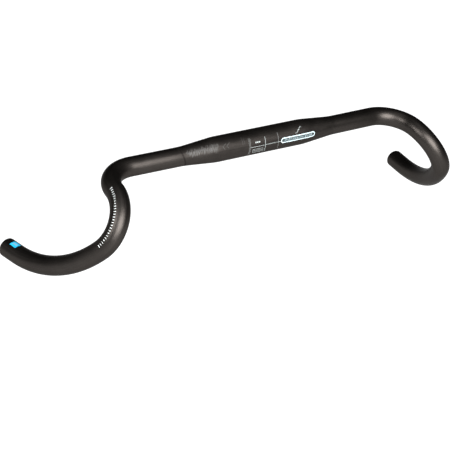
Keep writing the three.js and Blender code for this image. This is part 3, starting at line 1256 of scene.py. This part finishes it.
def cap_mesh():
    """The cap: a fluted rim, a ring groove, a recess for the screw head and a cone behind."""
    profile = [
        (CAP_BORE, CAP_CONE_END), (6.6, CAP_CONE_END), (8.4, CAP_THICKNESS),
        (CAP_RADIUS, CAP_THICKNESS), (CAP_RADIUS, 0.5), (9.2, CAP_FACE),
        (8.5, CAP_FACE), (8.3, CAP_GROOVE_DEPTH), (7.7, CAP_GROOVE_DEPTH), (7.5, CAP_FACE),
        (5.4, CAP_FACE), (CAP_RECESS_RADIUS, 0.5), (CAP_RECESS_RADIUS, CAP_RECESS_DEPTH),
        (CAP_BORE, CAP_RECESS_DEPTH),
    ]

    def flutes(radius, depth, angle):
        near_rim = max(0.0, min(1.0, (radius - FLUTED_FROM) / 0.5))
        near_face = max(0.0, min(1.0, 3.6 - depth))
        wave = (0.5 - 0.5 * math.cos(FLUTES * angle)) ** 2
        return FLUTE_DEPTH * near_rim * near_face * wave

    return turned_mesh(rounded(profile, CAP_EDGE_ROUND), CAP_SIDES, flutes)


def sleeve_mesh():
    """The rubber sleeve: grooved outside, coned at both ends inside and slit four ways."""
    profile = [
        (8.9, SLEEVE_END), (8.6, 19.5), (SLEEVE_WAIST, 14.8), (SLEEVE_WAIST, 9.3),
        (8.7, SLEEVE_START), (SLEEVE_RADIUS, SLEEVE_START),
    ]
    for groove in range(GROOVES):
        depth = GROOVE_START + GROOVE_PITCH * groove
        profile += [(SLEEVE_RADIUS, depth), (GROOVE_FLOOR, depth + 0.25)]
        profile += [(GROOVE_FLOOR, depth + 0.75), (SLEEVE_RADIUS, depth + 1.0)]
    profile.append((SLEEVE_RADIUS, SLEEVE_END))
    body = turned_mesh(rounded(profile, SLEEVE_EDGE_ROUND), SLEEVE_SIDES)
    slits = [
        block((-reach_x, -reach_y, -UNDER_SLEEVE), (reach_x, reach_y, -SLOT_START))
        for reach_x, reach_y in ((PAST_SLEEVE, SLOT_HALF), (SLOT_HALF, PAST_SLEEVE))
    ]
    return cut_away(body, slits)


def wedge_mesh():
    """The wedge nut: a cone that spreads the sleeve, with a ring groove near its wide end."""
    profile = [
        (WEDGE_BORE, WEDGE_END), (7.9, WEDGE_END), (WEDGE_RADIUS, 24.2), (WEDGE_RADIUS, 23.6),
        (8.35, 23.35), (8.35, 22.9), (WEDGE_RADIUS, 22.65), (WEDGE_RADIUS, 21.5),
        (6.3, WEDGE_START), (3.4, WEDGE_START), (WEDGE_BORE, WEDGE_START + 0.6),
    ]
    return turned_mesh(rounded(profile, WEDGE_EDGE_ROUND), WEDGE_SIDES)


def screw_mesh():
    """A low-head screw: turned head and tip, rolled thread and a hexagon socket."""
    head = [
        (0, SCREW_HEAD_TOP), (4.0, SCREW_HEAD_TOP), (SCREW_HEAD_RADIUS, 0.95),
        (SCREW_HEAD_RADIUS, SCREW_HEAD_END), (2.75, SCREW_HEAD_END),
    ]
    neck = [(SCREW_RADIUS, 3.35), (SCREW_RADIUS, THREAD_START)]
    tip = [(SCREW_RADIUS, THREAD_END), (2.0, 25.75), (1.7, SCREW_END), (0, SCREW_END)]
    values = {
        "Crest radius": SCREW_RADIUS * MM,
        "Thread depth": THREAD_DEPTH * MM,
        "Pitch": THREAD_PITCH * MM,
        "Start depth": THREAD_START * MM,
        "End depth": THREAD_END * MM,
        "Rows": 220,
        "Sides": SCREW_SIDES,
    }
    work = bmesh.new()
    work.from_mesh(run_tree("thread", empty_mesh(), thread_tree(), values))
    # The last point of the rounded head would undercut the neck.
    spin(work, [*rounded(head, SCREW_EDGE_ROUND)[:-1], *neck], SCREW_SIDES)
    spin(work, tip, SCREW_SIDES)
    body = closed_mesh(work, WIDE_MERGE)
    return cut_away(body, [prism(SOCKET_RADIUS, 6, 0.2, SOCKET_END)])


PLUG_PIECES = (
    ("cap", cap_mesh, "plug", "black_nylon", nylon_black),
    ("sleeve", sleeve_mesh, "plug", "black_rubber", rubber_black),
    ("wedge", wedge_mesh, "wedge", "turned_alloy", turned_alloy),
    ("screw", screw_mesh, "screw", "zinc_steel", zinc_plate),
)


def plug_pieces():
    """Both expander plugs, made once and placed in the two bar ends."""
    made = {kind: make() for kind, make, *_ in PLUG_PIECES}
    for side, sign in SIDES:
        heading = mirrored(half.heading, sign)
        place = Matrix.Translation(mirrored(half.place, sign))
        place @= Vector((0, 0, 1)).rotation_difference(heading).to_matrix().to_4x4()
        for kind, _, body, slot, material in PLUG_PIECES:
            mesh = made[kind].copy()
            own = mesh.attributes.new("turned", "FLOAT_VECTOR", "POINT")
            for index, vertex in enumerate(mesh.vertices):
                own.data[index].vector = vertex.co
            mesh.materials.clear()
            mesh.materials.append(material)
            mesh.transform(place)
            node = f"{side}_plug_{kind}"
            place_piece(f"{node}_finished", mesh, f"{side}_{body}", slot, node)


bar_tube()
clamp_guide()
front_badge()
tilt_mark()
tone_graphic()
for side, sign in SIDES:
    lever_scale(side, sign)
end_mark()
plug_pieces()
bpy.data.objects.remove(line)

# ---- Studio ----------------------------------------------------------------------------------

FLOOR_HEIGHT = -0.215
FLOOR_SIZE = 14.0
FLOOR_PALE = (0.2, 0.2, 0.2, 1)
FLOOR_GLOW = 0.9
GLOW_CENTRE = (0.2, 0.2)
GLOW_FULL = 1.0
GLOW_END = 2.0
GLOW_LEAST = 0.12
ROOM_SHADE = (0.012, 0.012, 0.012, 1)


def studio_floor():
    """A pale table that glows evenly round the bar and fades out beyond it."""
    work = bmesh.new()
    bmesh.ops.create_grid(work, x_segments=2, y_segments=2, size=FLOOR_SIZE)
    for vertex in work.verts:
        vertex.co.z = FLOOR_HEIGHT
    mesh = bpy.data.meshes.new("studio_floor")
    work.to_mesh(mesh)
    work.free()
    floor = plain_object("studio_floor", mesh)
    material, works, shader = finish(
        "pale_table", Base_Color=FLOOR_PALE, Roughness=0.9, Emission_Strength=FLOOR_GLOW
    )
    place = works.node("ShaderNodeTexCoord").other("Object")
    reach = works.vector("DISTANCE", place, (*GLOW_CENTRE, FLOOR_HEIGHT)).other("Value")
    glow = (1.0 - (reach - GLOW_FULL) / (GLOW_END - GLOW_FULL)).between(0.0, 1.0)
    lit = GLOW_LEAST + glow * glow * (3 - glow * 2) * (1 - GLOW_LEAST)
    works.feed(shader.inputs["Emission Color"], works.joined(lit, lit, lit))
    mesh.materials.append(material)


def soft_light(name, place, target, size, power):
    """A square softbox at a place, turned to a target."""
    data = bpy.data.lights.new(name, "AREA")
    data.shape = "SQUARE"
    data.size = size
    data.energy = power
    light = bpy.data.objects.new(name, data)
    bpy.context.scene.collection.objects.link(light)
    light.location = place
    aim = Vector(target) - Vector(place)
    light.rotation_euler = aim.to_track_quat("-Z", "Y").to_euler()


def studio_world():
    """A dark room, so that the tube reflects the lights and the table alone."""
    world = bpy.data.worlds.new("studio")
    bpy.context.scene.world = world
    world.use_nodes = True
    world.node_tree.nodes.clear()
    works = Works(world.node_tree)
    shade = works.node("ShaderNodeBackground", sockets={0: ROOM_SHADE, 1: 1.0})
    works.node("ShaderNodeOutputWorld", sockets={0: shade})


# A light's name, place, target, size and power.
LIGHTS = (
    ("overhead", (0.2, 0.3, 2.2), (0, 0, -0.1), 1.0, 3),
    ("front", (-0.3, -1.98, 1.34), (0, 0, -0.05), 2.0, 200),
    ("left", (-1.9, -0.15, 1.2), (0.2, 0, 0), 1.0, 42),
)

CAMERA_PLACE = Vector((-0.9493, -1.1951, 0.8628))
CAMERA_AZIMUTH = math.radians(-37.597)
CAMERA_ELEVATION = math.radians(33.051)
CAMERA_ROLL = math.radians(9.195)
CAMERA_LENS = 113.85


def studio_camera():
    """The camera. Azimuth 0 looks along +Y, and a positive elevation looks down."""
    data = bpy.data.cameras.new("studio_camera")
    data.lens = CAMERA_LENS
    data.clip_start = 0.01
    data.clip_end = 100
    camera = bpy.data.objects.new("studio_camera", data)
    bpy.context.scene.collection.objects.link(camera)
    turned = Matrix.Rotation(CAMERA_AZIMUTH, 4, "Z")
    turned @= Matrix.Rotation(math.pi / 2 - CAMERA_ELEVATION, 4, "X")
    turned @= Matrix.Rotation(CAMERA_ROLL, 4, "Z")
    camera.matrix_world = Matrix.Translation(CAMERA_PLACE) @ turned
    bpy.context.scene.camera = camera


studio_floor()
studio_world()
for light in LIGHTS:
    soft_light(*light)
studio_camera()
bpy.context.scene.view_settings.view_transform = "Standard"
